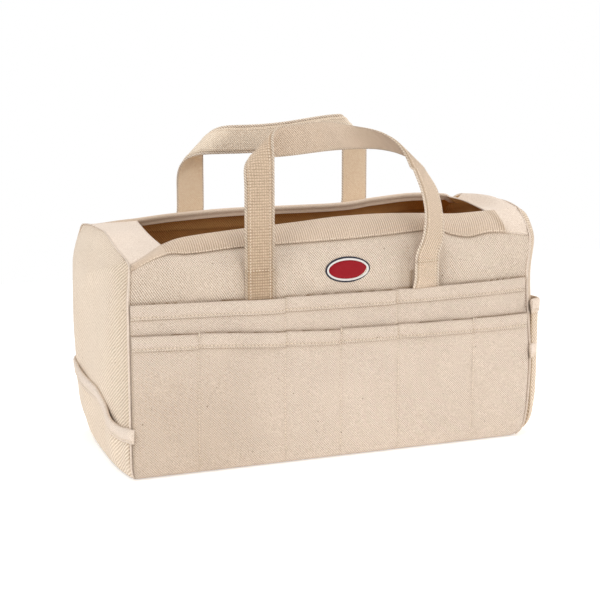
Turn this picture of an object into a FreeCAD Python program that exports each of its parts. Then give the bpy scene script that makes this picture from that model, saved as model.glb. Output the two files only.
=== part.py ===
"""Open-topped canvas tool bag with two webbing handles, in millimetres.

The bag stands on the XY plane, its long side lies along X, its front faces -Y, and the origin is the
middle of its underside. Every size that drives the shape is a cell of the sheet "Sizes".
"""

import FreeCAD, Part
import Sketcher
import os
import re

SIZES = {
    # The sewn box.
    "bag_length": 508,
    "bag_depth": 235,
    "rim_height": 279,
    "mouth_depth": 164,
    "lean_angle": 32,
    "canvas": 2,
    "seam_gap": 0.2,
    "cap_length": 56,
    # Webbing round the mouth.
    "band_width": 38,
    "band_thick": 2,
    # Pocket strips on the front and the rear.
    "strip_length": 500,
    "strip_foot": 8,
    "strip_thick": 1.5,
    "upper_strip_top": 198,
    "lower_strip_top": 156,
    "binding_width": 16.5,
    "binding_thick": 1.5,
    # Pockets on the two ends. The swell is how far a pocket's middle stands out from the end panel.
    "end_pocket_flat": 120,
    "left_pocket_foot": 10,
    "left_pocket_top": 78,
    "left_pocket_swell": 14,
    "left_pocket_inset": 2,
    "right_lower_foot": 10,
    "right_lower_top": 115,
    "right_lower_swell": 14,
    "right_lower_inset": 2,
    "right_upper_foot": 12,
    "right_upper_top": 171,
    "right_upper_swell": 9,
    "right_upper_inset": 12,
    # Rolled bindings over the four upright corner seams.
    "corner_roll": 1.6,
    "corner_foot": 4,
    # Handles: each is one strap, sewn down below the fold line and free above it.
    "strap_width": 36,
    "strap_thick": 3,
    "strap_lift": 0.3,
    "anchor_foot": 165,
    "fold_height": 227.5,
    "fold_gap": 2.3,
    "handle_top": 390,
    "handle_outer_round": 48,
    "handle_inner_round": 14,
    "front_left_leg": -101,
    "front_right_leg": 109,
    "rear_left_leg": -108,
    "rear_right_leg": 114,
    # Oval badge on the front.
    "badge_middle": 8.5,
    "badge_height": 222.5,
    "badge_length": 57,
    "badge_tall": 30,
    "badge_rim": 1.6,
    "badge_ring": 2.4,
    "badge_thick": 0.8,
}

FRONT = -1
REAR = 1
LEFT = -1
RIGHT = 1
SIDE_NAMES = {FRONT: "front", REAR: "rear"}
END_NAMES = {LEFT: "left", RIGHT: "right"}
TOUCH = 1e-3
FIRST_GUESS = 100
OUT_FOLDER = "parts"

doc = FreeCAD.newDocument("tool_bag")
pieces = []


# ---- the sheet and how sizes are bound to it ----


def make_sheet():
    """One row per size: its name, its value and an alias."""
    sheet = doc.addObject("Spreadsheet::Sheet", "Sizes")
    for row, (name, value) in enumerate(SIZES.items(), start=1):
        sheet.set(f"A{row}", name)
        sheet.set(f"B{row}", str(value))
        sheet.setAlias(f"B{row}", name)
    doc.recompute()


def on_sheet(formula):
    """The formula with every size name pointing at its cell."""
    return re.sub(r"[a-z_]+", lambda word: cell_or_word(word.group()), formula)


def cell_or_word(word):
    return f"Sizes.{word}" if word in SIZES else word


def bind(thing, formulas):
    for attribute, formula in formulas.items():
        thing.setExpression(attribute, on_sheet(formula))


def read_size(name):
    return float(getattr(doc.Sizes, name))


def add_piece(kind, name):
    """A sub-part, whose label names its file."""
    piece = doc.addObject(kind, name)
    piece.Label = name
    pieces.append(piece)
    return piece


# ---- formulas that several sub-parts share ----

HALF_LENGTH = "bag_length / 2"
HALF_DEPTH = "bag_depth / 2"
HALF_MOUTH = "mouth_depth / 2"
SHOULDER = "(rim_height - (bag_depth - mouth_depth) / 2 / tan(lean_angle))"
WALL_FOOT = "(canvas + seam_gap)"
STRAP_IN = f"({HALF_DEPTH} + strap_lift)"
STRAP_OUT = f"({STRAP_IN} + strap_thick)"
UPPER_STRIP_IN = f"({STRAP_OUT} + seam_gap)"
UPPER_STRIP_OUT = f"({UPPER_STRIP_IN} + strip_thick)"
LOWER_STRIP_IN = f"({UPPER_STRIP_OUT} + seam_gap)"
BADGE_IN = f"({HALF_DEPTH} + strap_lift)"


# ---- ways of making a sub-part ----


def box_piece(name, low, size):
    """A rectangular sheet from its lowest corner and its three sizes, all as formulas."""
    piece = add_piece("Part::Box", name)
    bind(piece, dict(zip(("Length", "Width", "Height"), size)))
    bind(piece, dict(zip(("Placement.Base.x", "Placement.Base.y", "Placement.Base.z"), low)))
    return piece


def wall_box(name, side, middle, length, inner, thick, low, high):
    """A flat sheet standing against the front or the rear, from how far out it lies and how high it reaches."""
    near = f"-({inner} + {thick})" if side == FRONT else inner
    corner = (f"{middle} - ({length}) / 2", near, low)
    return box_piece(name, corner, (length, thick, f"{high} - {low}"))


def origin_plane(body, role):
    for plane in body.Origin.OriginFeatures:
        if plane.Role == role:
            return plane
    raise RuntimeError(f"{body.Label} has no {role}")


def polygon_sketch(body, name, role, corners):
    """A closed outline on one of the body's own planes, whose corners are pairs of formulas bound to the sheet.

    Its lines start as a regular polygon, and the constraints then pull every corner into place.
    """
    sketch = body.newObject("Sketcher::SketchObject", name)
    sketch.AttachmentSupport = [(origin_plane(body, role), "")]
    sketch.MapMode = "FlatFace"
    count = len(corners)
    turn = FreeCAD.Rotation(FreeCAD.Vector(0, 0, 1), 360 / count)
    start = FreeCAD.Vector(FIRST_GUESS, 0, 0)
    for _ in corners:
        end = turn.multVec(start)
        sketch.addGeometry(Part.LineSegment(start, end), False)
        start = end
    for side in range(count):
        sketch.addConstraint(Sketcher.Constraint("Coincident", side, 2, (side + 1) % count, 1))
    for side, (across, up) in enumerate(corners):
        for kind, formula in (("DistanceX", across), ("DistanceY", up)):
            index = sketch.addConstraint(Sketcher.Constraint(kind, -1, 1, side, 1, 1.0))
            sketch.setExpression(f"Constraints[{index}]", on_sheet(formula))
    return sketch


def pad(body, sketch, name, length, both_ways=False):
    feature = body.newObject("PartDesign::Pad", name)
    feature.Profile = sketch
    feature.setExpression("Length", on_sheet(length))
    feature.Midplane = both_ways
    body.Tip = feature
    return feature


# ---- the sewn box ----


def make_base():
    box_piece(
        "base_panel",
        (f"-{HALF_LENGTH}", f"-{HALF_DEPTH}", "0"),
        ("bag_length", "bag_depth", "canvas"),
    )


def make_wall(side):
    """Front or rear panel: upright to the shoulder, then leaning in to the rim."""
    name = SIDE_NAMES[side]
    body = add_piece("PartDesign::Body", f"{name}_panel")
    outline = [
        (f"{side} * {HALF_DEPTH}", WALL_FOOT),
        (f"{side} * {HALF_DEPTH}", SHOULDER),
        (f"{side} * {HALF_MOUTH}", "rim_height"),
        (f"{side} * ({HALF_MOUTH} - canvas / cos(lean_angle))", "rim_height"),
        (f"{side} * ({HALF_DEPTH} - canvas)", f"{SHOULDER} - canvas * tan(lean_angle / 2)"),
        (f"{side} * ({HALF_DEPTH} - canvas)", WALL_FOOT),
    ]
    sketch = polygon_sketch(body, f"{name}_panel_outline", "YZ_Plane", outline)
    pad(body, sketch, f"{name}_panel_cloth", "bag_length", both_ways=True)


def make_end_panel(end):
    """End panel: it fills the section between the two walls, up to the cap."""
    name = END_NAMES[end]
    body = add_piece("PartDesign::Body", f"{name}_end_panel")
    inside = "canvas + seam_gap"
    top_half = f"({HALF_MOUTH} - canvas / cos(lean_angle) - seam_gap)"
    bend = f"({SHOULDER} - canvas * tan(lean_angle / 2))"
    outline = [
        (f"-({HALF_DEPTH} - ({inside}))", WALL_FOOT),
        (f"{HALF_DEPTH} - ({inside})", WALL_FOOT),
        (f"{HALF_DEPTH} - ({inside})", bend),
        (top_half, "rim_height"),
        (f"-{top_half}", "rim_height"),
        (f"-({HALF_DEPTH} - ({inside}))", bend),
    ]
    sketch = polygon_sketch(body, f"{name}_end_outline", "YZ_Plane", outline)
    pad(body, sketch, f"{name}_end_cloth", "canvas", both_ways=True)
    bind(body, {"Placement.Base.x": f"{end} * ({HALF_LENGTH} - canvas / 2)"})


def make_cap(end):
    """Flat cloth that closes the mouth beside an end panel."""
    name = END_NAMES[end]
    inner_half = f"({HALF_MOUTH} - 2 * canvas / cos(lean_angle) - 2 * seam_gap)"
    outer = f"({HALF_LENGTH} - canvas - seam_gap)"
    low_x = outer + " - cap_length" if end == RIGHT else f"-{outer}"
    box_piece(
        f"{name}_top_cap",
        (low_x, f"-{inner_half}", "rim_height - canvas"),
        ("cap_length", f"2 * {inner_half}", "canvas"),
    )


def make_rim_band(side):
    """Webbing laid on the outside of the leaning part, its upper edge level with the rim."""
    name = SIDE_NAMES[side]
    band = add_piece("Part::Box", f"{name}_rim_band")
    band.Placement.Rotation = FreeCAD.Rotation(FreeCAD.Vector(side, 0, 0), 1)
    out = "(band_thick + seam_gap)" if side == FRONT else "seam_gap"
    across = f"{HALF_MOUTH} + {out} * cos(lean_angle) + band_width * sin(lean_angle)"
    formulas = {
        "Length": "bag_length",
        "Width": "band_thick",
        "Height": "band_width",
        "Placement.Rotation.Angle": "lean_angle",
        "Placement.Base.x": f"-{HALF_LENGTH}",
        "Placement.Base.y": f"{side} * ({across})",
        "Placement.Base.z": f"rim_height + {out} * sin(lean_angle) - band_width * cos(lean_angle)",
    }
    bind(band, formulas)


def make_corner_binding(side, end):
    """Rolled binding over an upright corner seam."""
    roll = add_piece("Part::Cylinder", f"{SIDE_NAMES[side]}_{END_NAMES[end]}_corner_binding")
    formulas = {
        "Radius": "corner_roll",
        "Height": f"{SHOULDER} - corner_foot",
        "Placement.Base.x": f"{end} * ({HALF_LENGTH} + corner_roll + seam_gap)",
        "Placement.Base.y": f"{side} * ({HALF_DEPTH} - corner_roll)",
        "Placement.Base.z": "corner_foot",
    }
    bind(roll, formulas)


# ---- pockets ----


def make_pocket_strip(side, level, inner, top):
    """One strip of pockets against the front or rear, with the binding along its mouth."""
    name = f"{SIDE_NAMES[side]}_{level}_pocket"
    outer = f"({inner} + strip_thick + seam_gap)"
    wall_box(f"{name}_strip", side, "0", "strip_length", inner, "strip_thick", "strip_foot", top)
    wall_box(
        f"{name}_binding",
        side,
        "0",
        "strip_length",
        outer,
        "binding_thick",
        f"({top} - binding_width)",
        top,
    )


def make_end_pocket(end, name, sizes):
    """A pocket on an end panel: a skin that swells out in the middle, and a floor.

    The sizes are the cells named sizes_foot, _top, _swell and _inset.
    """
    body = add_piece("PartDesign::Body", name)
    half = f"({HALF_DEPTH} - {sizes}_inset)"
    flat = "end_pocket_flat / 2"
    swell = f"{sizes}_swell"
    wall = "strip_thick"
    outside = [
        ("0", f"-{half}"),
        (f"{end} * {swell}", f"-{flat}"),
        (f"{end} * {swell}", flat),
        ("0", half),
    ]
    inside = [
        (f"-{end} * {wall}", f"-({half} - 3 * {wall})"),
        (f"{end} * ({swell} - {wall})", f"-({flat} - {wall})"),
        (f"{end} * ({swell} - {wall})", f"{flat} - {wall}"),
        (f"-{end} * {wall}", f"{half} - 3 * {wall}"),
    ]
    height = f"({sizes}_top - {sizes}_foot)"
    skin = polygon_sketch(body, f"{name}_outside", "XY_Plane", outside)
    pad(body, skin, f"{name}_bulk", height)
    hollow = polygon_sketch(body, f"{name}_inside", "XY_Plane", inside)
    bind(hollow, {"AttachmentOffset.Base.z": height})
    cut = body.newObject("PartDesign::Pocket", f"{name}_hollow")
    cut.Profile = hollow
    cut.setExpression("Length", on_sheet(f"{height} - {wall}"))
    body.Tip = cut
    place = {
        "Placement.Base.x": f"{end} * ({HALF_LENGTH} + seam_gap)",
        "Placement.Base.z": f"{sizes}_foot",
    }
    bind(body, place)
    make_end_binding(end, f"{name}_binding", sizes)


def make_end_binding(end, name, sizes):
    """Binding along the mouth of an end pocket, on the flat middle of its skin."""
    near = f"{HALF_LENGTH} + {sizes}_swell + 2 * seam_gap"
    low_x = near if end == RIGHT else f"-({near} + binding_thick)"
    corner = (low_x, "-end_pocket_flat / 2", f"{sizes}_top - binding_width")
    box_piece(name, corner, ("binding_thick", "end_pocket_flat", "binding_width"))


# ---- handles ----


def make_anchor(side, end):
    """The end of a handle strap that is sewn flat to the wall, below the fold line."""
    leg = f"{SIDE_NAMES[side]}_{END_NAMES[end]}_leg"
    wall_box(
        f"{SIDE_NAMES[side]}_{END_NAMES[end]}_strap_anchor",
        side,
        leg,
        "strap_width",
        STRAP_IN,
        "strap_thick",
        "anchor_foot",
        "(fold_height - seam_gap)",
    )


def make_handle(side):
    """The free loop of a handle: two legs and a grip, with its corners rounded."""
    name = SIDE_NAMES[side]
    body = add_piece("PartDesign::Body", f"{name}_handle_loop")
    left = f"{name}_left_leg"
    right = f"{name}_right_leg"
    half = "strap_width / 2"
    foot = "fold_height + fold_gap"
    outline = [
        (f"{left} - {half}", foot),
        (f"{left} - {half}", "handle_top"),
        (f"{right} + {half}", "handle_top"),
        (f"{right} + {half}", foot),
        (f"{right} - {half}", foot),
        (f"{right} - {half}", "handle_top - strap_width"),
        (f"{left} + {half}", "handle_top - strap_width"),
        (f"{left} + {half}", foot),
    ]
    sketch = polygon_sketch(body, f"{name}_handle_outline", "XZ_Plane", outline)
    webbing = pad(body, sketch, f"{name}_handle_webbing", "strap_thick", both_ways=True)
    doc.recompute()
    top = read_size("handle_top")
    inside_top = top - read_size("strap_width")
    outer = round_corners(body, webbing, f"{name}_handle_outer_round", "handle_outer_round", top)
    doc.recompute()
    round_corners(body, outer, f"{name}_handle_inner_round", "handle_inner_round", inside_top)
    bind(body, {"Placement.Base.y": f"{side} * ({STRAP_IN} + strap_thick / 2)"})


def round_corners(body, base, name, radius, height):
    """Rounds the two edges that run through the strap at one height."""
    edges = [
        f"Edge{number}"
        for number, edge in enumerate(base.Shape.Edges, start=1)
        if runs_through(edge, height)
    ]
    feature = body.newObject("PartDesign::Fillet", name)
    feature.Base = (base, edges)
    feature.setExpression("Radius", on_sheet(radius))
    body.Tip = feature
    return feature


def runs_through(edge, height):
    """True for a straight edge along Y at that height."""
    start, end = [vertex.Point for vertex in edge.Vertexes]
    along = (end - start).normalize()
    return abs(abs(along.y) - 1) < TOUCH and abs(start.z - height) < TOUCH


# ---- badge ----


def make_oval(name, margin):
    """An upright oval plate, smaller than the badge by a margin all round."""
    outline = doc.addObject("Part::Ellipse", f"{name}_outline")
    bind(
        outline,
        {
            "MajorRadius": f"badge_length / 2 - {margin}",
            "MinorRadius": f"badge_tall / 2 - {margin}",
        },
    )
    return outline


def extrude_oval(piece, outline, thick):
    piece.Base = outline
    piece.DirMode = "Custom"
    piece.Dir = FreeCAD.Vector(0, 0, 1)
    piece.Solid = True
    bind(piece, {"LengthFwd": thick})


def stand_on_front(piece, out):
    """Turns a plate upright and sets it on the front wall, its face towards -Y."""
    piece.Placement.Rotation = FreeCAD.Rotation(FreeCAD.Vector(1, 0, 0), 90)
    bind(
        piece,
        {
            "Placement.Base.x": "badge_middle",
            "Placement.Base.y": f"-({out})",
            "Placement.Base.z": "badge_height",
        },
    )


def make_badge():
    """Dark backing, then a pale ring with a red oval inside it."""
    backing = add_piece("Part::Extrusion", "badge_backing")
    extrude_oval(backing, make_oval("badge_backing", "0"), "badge_thick")
    stand_on_front(backing, BADGE_IN)

    face_out = f"{BADGE_IN} + badge_thick"
    ring_bulk = doc.addObject("Part::Extrusion", "badge_ring_bulk")
    extrude_oval(ring_bulk, make_oval("badge_ring", "badge_rim"), "badge_thick")
    ring_hole = doc.addObject("Part::Extrusion", "badge_ring_hole")
    extrude_oval(ring_hole, make_oval("badge_hole", "(badge_rim + badge_ring)"), "badge_thick")
    ring = add_piece("Part::Cut", "badge_ring")
    ring.Base = ring_bulk
    ring.Tool = ring_hole
    stand_on_front(ring, face_out)

    face = add_piece("Part::Extrusion", "badge_face")
    extrude_oval(face, make_oval("badge_face", "(badge_rim + badge_ring + seam_gap)"), "badge_thick")
    stand_on_front(face, face_out)


# ---- the whole bag ----


def make_bag():
    make_base()
    for side in (FRONT, REAR):
        make_wall(side)
        make_rim_band(side)
        make_pocket_strip(side, "upper", UPPER_STRIP_IN, "upper_strip_top")
        make_pocket_strip(side, "lower", LOWER_STRIP_IN, "lower_strip_top")
        make_handle(side)
        for end in (LEFT, RIGHT):
            make_anchor(side, end)
            make_corner_binding(side, end)
    for end in (LEFT, RIGHT):
        make_end_panel(end)
        make_cap(end)
    make_end_pocket(LEFT, "left_end_pocket", "left_pocket")
    make_end_pocket(RIGHT, "right_end_upper_pocket", "right_upper")
    make_end_pocket(RIGHT, "right_end_lower_pocket", "right_lower")
    make_badge()


def check_document():
    """Stops if any object failed, or a sub-part is empty or not one sound solid."""
    for thing in doc.Objects:
        if "Invalid" in thing.State or "Error" in thing.State:
            raise RuntimeError(f"{thing.Name} is {thing.State}")
    for piece in pieces:
        shape = piece.Shape
        if shape.isNull() or not shape.isValid() or len(shape.Solids) != 1:
            raise RuntimeError(f"{piece.Label} is not one sound solid")


def write_pieces():
    os.makedirs(OUT_FOLDER, exist_ok=True)
    for piece in pieces:
        piece.Shape.exportStep(f"{OUT_FOLDER}/{piece.Label}.step")
        box = piece.Shape.BoundBox
        print(f"{piece.Label}: {box.XLength:.1f} x {box.YLength:.1f} x {box.ZLength:.1f} mm")


make_sheet()
make_bag()
doc.recompute()
check_document()
write_pieces()
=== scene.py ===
import math

import bmesh
import bpy
import numpy as np
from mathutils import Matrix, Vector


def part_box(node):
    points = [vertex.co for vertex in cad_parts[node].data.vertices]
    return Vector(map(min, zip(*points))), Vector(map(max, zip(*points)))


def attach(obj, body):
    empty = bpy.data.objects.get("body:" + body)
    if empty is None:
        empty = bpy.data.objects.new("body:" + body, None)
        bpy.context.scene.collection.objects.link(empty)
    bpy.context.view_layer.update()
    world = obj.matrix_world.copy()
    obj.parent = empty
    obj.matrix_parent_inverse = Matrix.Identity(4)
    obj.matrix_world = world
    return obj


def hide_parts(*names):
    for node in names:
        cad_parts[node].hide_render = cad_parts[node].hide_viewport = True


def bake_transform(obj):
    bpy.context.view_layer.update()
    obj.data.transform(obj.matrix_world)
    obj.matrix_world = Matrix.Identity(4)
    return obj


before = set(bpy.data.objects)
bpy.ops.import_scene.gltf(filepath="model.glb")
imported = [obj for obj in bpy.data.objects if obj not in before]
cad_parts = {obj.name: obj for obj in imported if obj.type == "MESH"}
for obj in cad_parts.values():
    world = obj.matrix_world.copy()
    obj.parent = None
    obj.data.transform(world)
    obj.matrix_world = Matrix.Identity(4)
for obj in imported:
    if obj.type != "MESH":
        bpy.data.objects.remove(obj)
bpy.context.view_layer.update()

# ---------------------------------------------------------------- sizes, in millimetres
MM = 0.001


def low(node, axis):
    """The lowest coordinate of a made part along an axis, in millimetres."""
    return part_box(node)[0][axis] / MM


def high(node, axis):
    """The highest coordinate of a made part along an axis, in millimetres."""
    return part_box(node)[1][axis] / MM


X, Y, Z = 0, 1, 2
HALF_LENGTH = high("base_panel", X)
HALF_DEPTH = high("base_panel", Y)
UPPER_MOUTH = high("front_upper_pocket_strip", Z)
LOWER_MOUTH = high("front_lower_pocket_strip", Z)
HEM_TALL = UPPER_MOUTH - low("front_upper_pocket_binding", Z)
STRAP_WIDE = high("front_left_strap_anchor", X) - low("front_left_strap_anchor", X)
STRAP_THICK = high("front_handle_loop", Y) - low("front_handle_loop", Y)
STRAP_LIFT = -high("front_handle_loop", Y) - HALF_DEPTH
ANCHOR_FOOT = low("front_left_strap_anchor", Z)
HINGE_HEIGHT = 227.5

CANVAS_THICK = 2.0
STRIP_THICK = 1.5
BASE_THICK = 1.6
FOOT_ROUND = 5.0
INSIDE = np.array([0.0, 0.0, 120.0])


def leg(node):
    """The middle of a strap's leg along the bag."""
    return (low(node, X) + high(node, X)) / 2


LEGS = {
    -1: (leg("front_left_strap_anchor"), leg("front_right_strap_anchor")),
    1: (leg("rear_left_strap_anchor"), leg("rear_right_strap_anchor")),
}


# ---------------------------------------------------------------- curves
def ease(t):
    """0 below 0, 1 above 1, and a smooth step between."""
    t = np.clip(t, 0, 1)
    return t * t * (3 - 2 * t)


def hill(x, middle, width):
    """A smooth hill of height 1 at middle."""
    return np.exp(-(((x - middle) / width) ** 2))


def rail(*points):
    """A smooth line through a few (place, value) points: between two points a cubic, which is level where
    the line turns back and elsewhere has the harmonic mean of the slopes of the chords beside it, so that
    it never swings past a point."""
    at, value = np.array(points, float).T
    chord = np.diff(value) / np.diff(at)
    same = chord[:-1] * chord[1:] > 0
    total = np.where(same, chord[:-1] + chord[1:], 1)
    slope = np.concatenate([chord[:1], np.where(same, 2 * chord[:-1] * chord[1:] / total, 0), chord[-1:]])

    def line(x):
        x = np.clip(x, at[0], at[-1])
        i = np.clip(np.searchsorted(at, x) - 1, 0, len(at) - 2)
        h = at[i + 1] - at[i]
        t = (x - at[i]) / h
        return (
            (1 + 2 * t) * (1 - t) ** 2 * value[i]
            + t * (1 - t) ** 2 * h * slope[i]
            + t * t * (3 - 2 * t) * value[i + 1]
            - t * t * (1 - t) * h * slope[i + 1]
        )

    return line


def stack(x, y, z):
    """Three arrays as points."""
    return np.stack(np.broadcast_arrays(x, y, z), -1).astype(float)


def unit(v):
    """Vectors at length 1."""
    return v / np.maximum(np.linalg.norm(v, axis=-1, keepdims=True), 1e-9)


def shadow(distance, deep, reach):
    """A painted shadow beside a seam or an edge: the shade is 1 - deep next to it and rises to 1 within a
    few times reach, as an exponential. There is none where distance is below 0."""
    return 1 - deep * np.exp(-np.maximum(distance, 0) / reach) * (distance >= 0)


def normals(surface, a, b, step=0.002):
    """The way a surface faces at (a, b): across both of its directions, turned away from the inside of
    the bag."""
    across = surface(a + step, b) - surface(a - step, b)
    up = surface(a, b + step) - surface(a, b - step)
    n = unit(np.cross(across, up))
    return n * np.where(((surface(a, b) - INSIDE) * n).sum(-1, keepdims=True) < 0, -1, 1)


# ---------------------------------------------------------------- meshes
def laid_flat(points):
    """Where each point lies on the flat cloth: the lengths added up along the rows and up the columns."""
    across = np.linalg.norm(np.diff(points, axis=1), axis=-1)
    up = np.linalg.norm(np.diff(points, axis=0), axis=-1)
    u = np.concatenate([np.zeros((len(points), 1)), np.cumsum(across, 1)], 1)
    v = np.concatenate([np.zeros((1, points.shape[1])), np.cumsum(up, 0)], 0)
    return np.stack([u - u.mean(1, keepdims=True), v], -1)


def write_painted_shade(mesh, values):
    """Gives a mesh its painted shade at every point: a darkening that its finish multiplies into its colour.
    """
    shades = mesh.attributes.new("shade", "FLOAT", "POINT").data
    shades.foreach_set("value", np.asarray(values).astype(np.float32).ravel())


def mesh_piece(name, points, flat, wrap=False, finish=None, bands=None, shade=1.0):
    """A named mesh from a grid of points in millimetres. wrap joins the last column to the first and closes
    both ends. finish is one material, or several that bands picks from, column by column or face by face.
    shade is painted shade: it darkens the finish point by point where it is below 1."""
    rows, cols = points.shape[:2]
    index = np.arange(rows * cols).reshape(rows, cols)
    right = np.roll(index, -1, 1) if wrap else index[:, 1:]
    left = index if wrap else index[:, :-1]
    faces = np.stack([left[:-1], right[:-1], right[1:], left[1:]], -1).reshape(-1, 4)
    if not wrap:
        p = points.reshape(-1, 3)
        n = np.cross(p[faces[:, 2]] - p[faces[:, 0]], p[faces[:, 3]] - p[faces[:, 1]])
        if (n * (p[faces].mean(1) - INSIDE)).sum() < 0:
            faces = faces[:, ::-1]
    polygons = faces.tolist() + ([index[0].tolist(), index[-1].tolist()] if wrap else [])
    made = bpy.data.meshes.new(name)
    made.from_pydata((points.reshape(-1, 3) * MM).tolist(), [], polygons)
    finishes = finish if isinstance(finish, (list, tuple)) else [finish]
    for f in finishes:
        made.materials.append(f)
    if bands is not None:
        pick = np.broadcast_to(bands, (rows - 1, faces.shape[0] // (rows - 1))).ravel()
        pick = np.concatenate([pick, [0] * (len(polygons) - len(pick))])
        made.polygons.foreach_set("material_index", pick.astype(np.int32))
    if wrap:
        shell = bmesh.new()
        shell.from_mesh(made)
        bmesh.ops.recalc_face_normals(shell, faces=shell.faces)
        shell.to_mesh(made)
        shell.free()
    made.polygons.foreach_set("use_smooth", [True] * len(made.polygons))
    corners = np.zeros(len(made.loops), np.int32)
    made.loops.foreach_get("vertex_index", corners)
    uv = (flat.reshape(-1, 2) * MM)[corners]
    made.uv_layers.new(name="UVMap").data.foreach_set("uv", uv.astype(np.float32).ravel())
    write_painted_shade(made, np.broadcast_to(shade, points.shape[:2]))
    made.update()
    piece = bpy.data.objects.new(name, made)
    bpy.context.scene.collection.objects.link(piece)
    return piece


def cloth(name, points, finish, thick=CANVAS_THICK, inside_painted_shade=None, shade=1.0):
    """A sheet through a grid of points, thickened towards the inside of the bag, where it may have another
    finish: a darker brown one that paints the shade inside the bag."""
    finishes = [finish, inside_painted_shade] if inside_painted_shade else finish
    piece = mesh_piece(name, points, laid_flat(points), finish=finishes, shade=shade)
    solid = piece.modifiers.new("thickness", "SOLIDIFY")
    solid.material_offset = 1 if inside_painted_shade else 0
    solid.thickness = thick * MM
    solid.offset = -1
    solid.use_even_offset = False
    return piece


def swept(name, path, out, up, section, finish, taper=None, shade=1.0):
    """A closed section carried along a path. At each point of the path the section's first number goes
    outwards and its second goes up; taper shrinks it along the way."""
    section = np.array(section, float)
    scale = np.ones(len(path)) if taper is None else taper
    points = (
        path[:, None]
        + out[:, None] * (section[None, :, :1] * scale[:, None, None])
        + up[:, None] * (section[None, :, 1:] * scale[:, None, None])
    )
    run = np.concatenate([[0], np.cumsum(np.linalg.norm(np.diff(path, axis=0), axis=-1))])
    round_it = np.concatenate([[0], np.cumsum(np.linalg.norm(np.diff(section, axis=0), axis=-1))])
    flat = np.stack(np.broadcast_arrays(run[:, None], round_it[None]), -1)
    return mesh_piece(name, points, flat, wrap=True, finish=finish, shade=shade)


# A stitch: three rings of four points and two tips, along, across and out.
STITCH_RINGS = [(-0.7, 0.75), (0.0, 1.0), (0.7, 0.75)]
STITCH_POINTS = np.array(
    [(-1, 0, 0)]
    + [(a, r * c, r * s) for a, r in STITCH_RINGS for c, s in ((1, 0), (0, 1), (-1, 0), (0, -1))]
    + [(1, 0, 0)],
    float,
)
STITCH_FACES = (
    [(0, 1 + k, 1 + (k + 1) % 4) for k in range(4)]
    + [
        (1 + 4 * r + k, 5 + 4 * r + k, 5 + 4 * r + (k + 1) % 4, 1 + 4 * r + (k + 1) % 4)
        for r in range(2)
        for k in range(4)
    ]
    + [(13, 9 + (k + 1) % 4, 9 + k) for k in range(4)]
)


def belongs(piece, slot, *nodes, body="bag"):
    """Hides the made parts that a piece stands for and hangs the piece on the body it rides on. slot is not
    used.
    """
    if nodes:
        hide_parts(*nodes)
    if body:
        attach(piece, body)


def stitches(name, rows, finish, pitch=4.2, long=2.9, wide=1.15, tall=0.8):
    """Rows of thread stitches. A row is its points and the way it faces at each; a stitch lies at every
    pitch along it, and its middle is level with the cloth."""
    all_points, count = [], 0
    for path, out in rows:
        run = np.concatenate([[0], np.cumsum(np.linalg.norm(np.diff(path, axis=0), axis=-1))])
        at = np.arange(pitch / 2, run[-1], pitch)
        place, ahead, behind = (
            np.stack([np.interp(at + d, run, path[:, k]) for k in range(3)], -1) for d in (0, 0.8, -0.8)
        )
        facing = unit(np.stack([np.interp(at, run, out[:, k]) for k in range(3)], -1))
        along = unit(ahead - behind)
        side = unit(np.cross(facing, along))
        shape = STITCH_POINTS * (long / 2, wide / 2, tall)
        all_points.append(
            place[:, None]
            + along[:, None] * shape[None, :, :1]
            + side[:, None] * shape[None, :, 1:2]
            + facing[:, None] * shape[None, :, 2:]
        )
        count += len(at)
    points = np.concatenate(all_points).reshape(-1, 3) * MM
    faces = [tuple(i + len(STITCH_POINTS) * k for i in f) for k in range(count) for f in STITCH_FACES]
    made = bpy.data.meshes.new(name)
    made.from_pydata(points.tolist(), [], faces)
    made.materials.append(finish)
    made.polygons.foreach_set("use_smooth", [True] * len(faces))
    write_painted_shade(made, np.ones(len(points)))
    piece = bpy.data.objects.new(name, made)
    bpy.context.scene.collection.objects.link(piece)
    return piece


# ---------------------------------------------------------------- finishes
def linear(hex_colour):
    """An sRGB hex colour as linear red, green, blue and alpha."""
    parts = [int(hex_colour[i : i + 2], 16) / 255 for i in (1, 3, 5)]
    return tuple(c / 12.92 if c <= 0.04045 else ((c + 0.055) / 1.055) ** 2.4 for c in parts) + (1.0,)


def add(tree, kind, inputs=None, **settings):
    """Adds one node. inputs maps a socket's name or number to a value or to another node's output."""
    made = tree.nodes.new(kind)
    for key, value in settings.items():
        setattr(made, key, value)
    for key, value in (inputs or {}).items():
        if isinstance(value, bpy.types.NodeSocket):
            tree.links.new(value, made.inputs[key])
        else:
            made.inputs[key].default_value = value
    return made


def math_node(tree, operation, a, b=0.0, c=0.0):
    """Adds one sum, product or other arithmetic step and gives its result."""
    return add(tree, "ShaderNodeMath", {0: a, 1: b, 2: c}, operation=operation).outputs[0]


def mixed(tree, share, first, second, **settings):
    """Mixes two colours and gives the result."""
    inputs = {0: share, 6: first, 7: second}
    return add(tree, "ShaderNodeMix", inputs, data_type="RGBA", **settings).outputs[2]


def waves(tree, along, up, wobble=None):
    """Parallel ridges across the flat cloth, from -1 to 1: a sine of u / along + v / up, both in
    millimetres, and a wobble in turns."""
    turns = (1 / (along * MM) if along else 0, 1 / (up * MM) if up else 0, 0)
    flat = add(tree, "ShaderNodeUVMap", uv_map="UVMap").outputs["UV"]
    phase = add(tree, "ShaderNodeVectorMath", {0: flat, 1: turns}, operation="DOT_PRODUCT").outputs["Value"]
    if wobble is not None:
        phase = math_node(tree, "ADD", phase, wobble)
    return math_node(tree, "SINE", math_node(tree, "MULTIPLY", phase, 2 * math.pi))


def cloudy(tree, size, detail=2.0):
    """Soft noise between about 0.2 and 0.8 with blots of one size in millimetres."""
    place = add(tree, "ShaderNodeTexCoord").outputs["Object"]
    return add(
        tree, "ShaderNodeTexNoise", {"Vector": place, "Scale": 1 / (size * MM), "Detail": detail}
    ).outputs[0]


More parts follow.
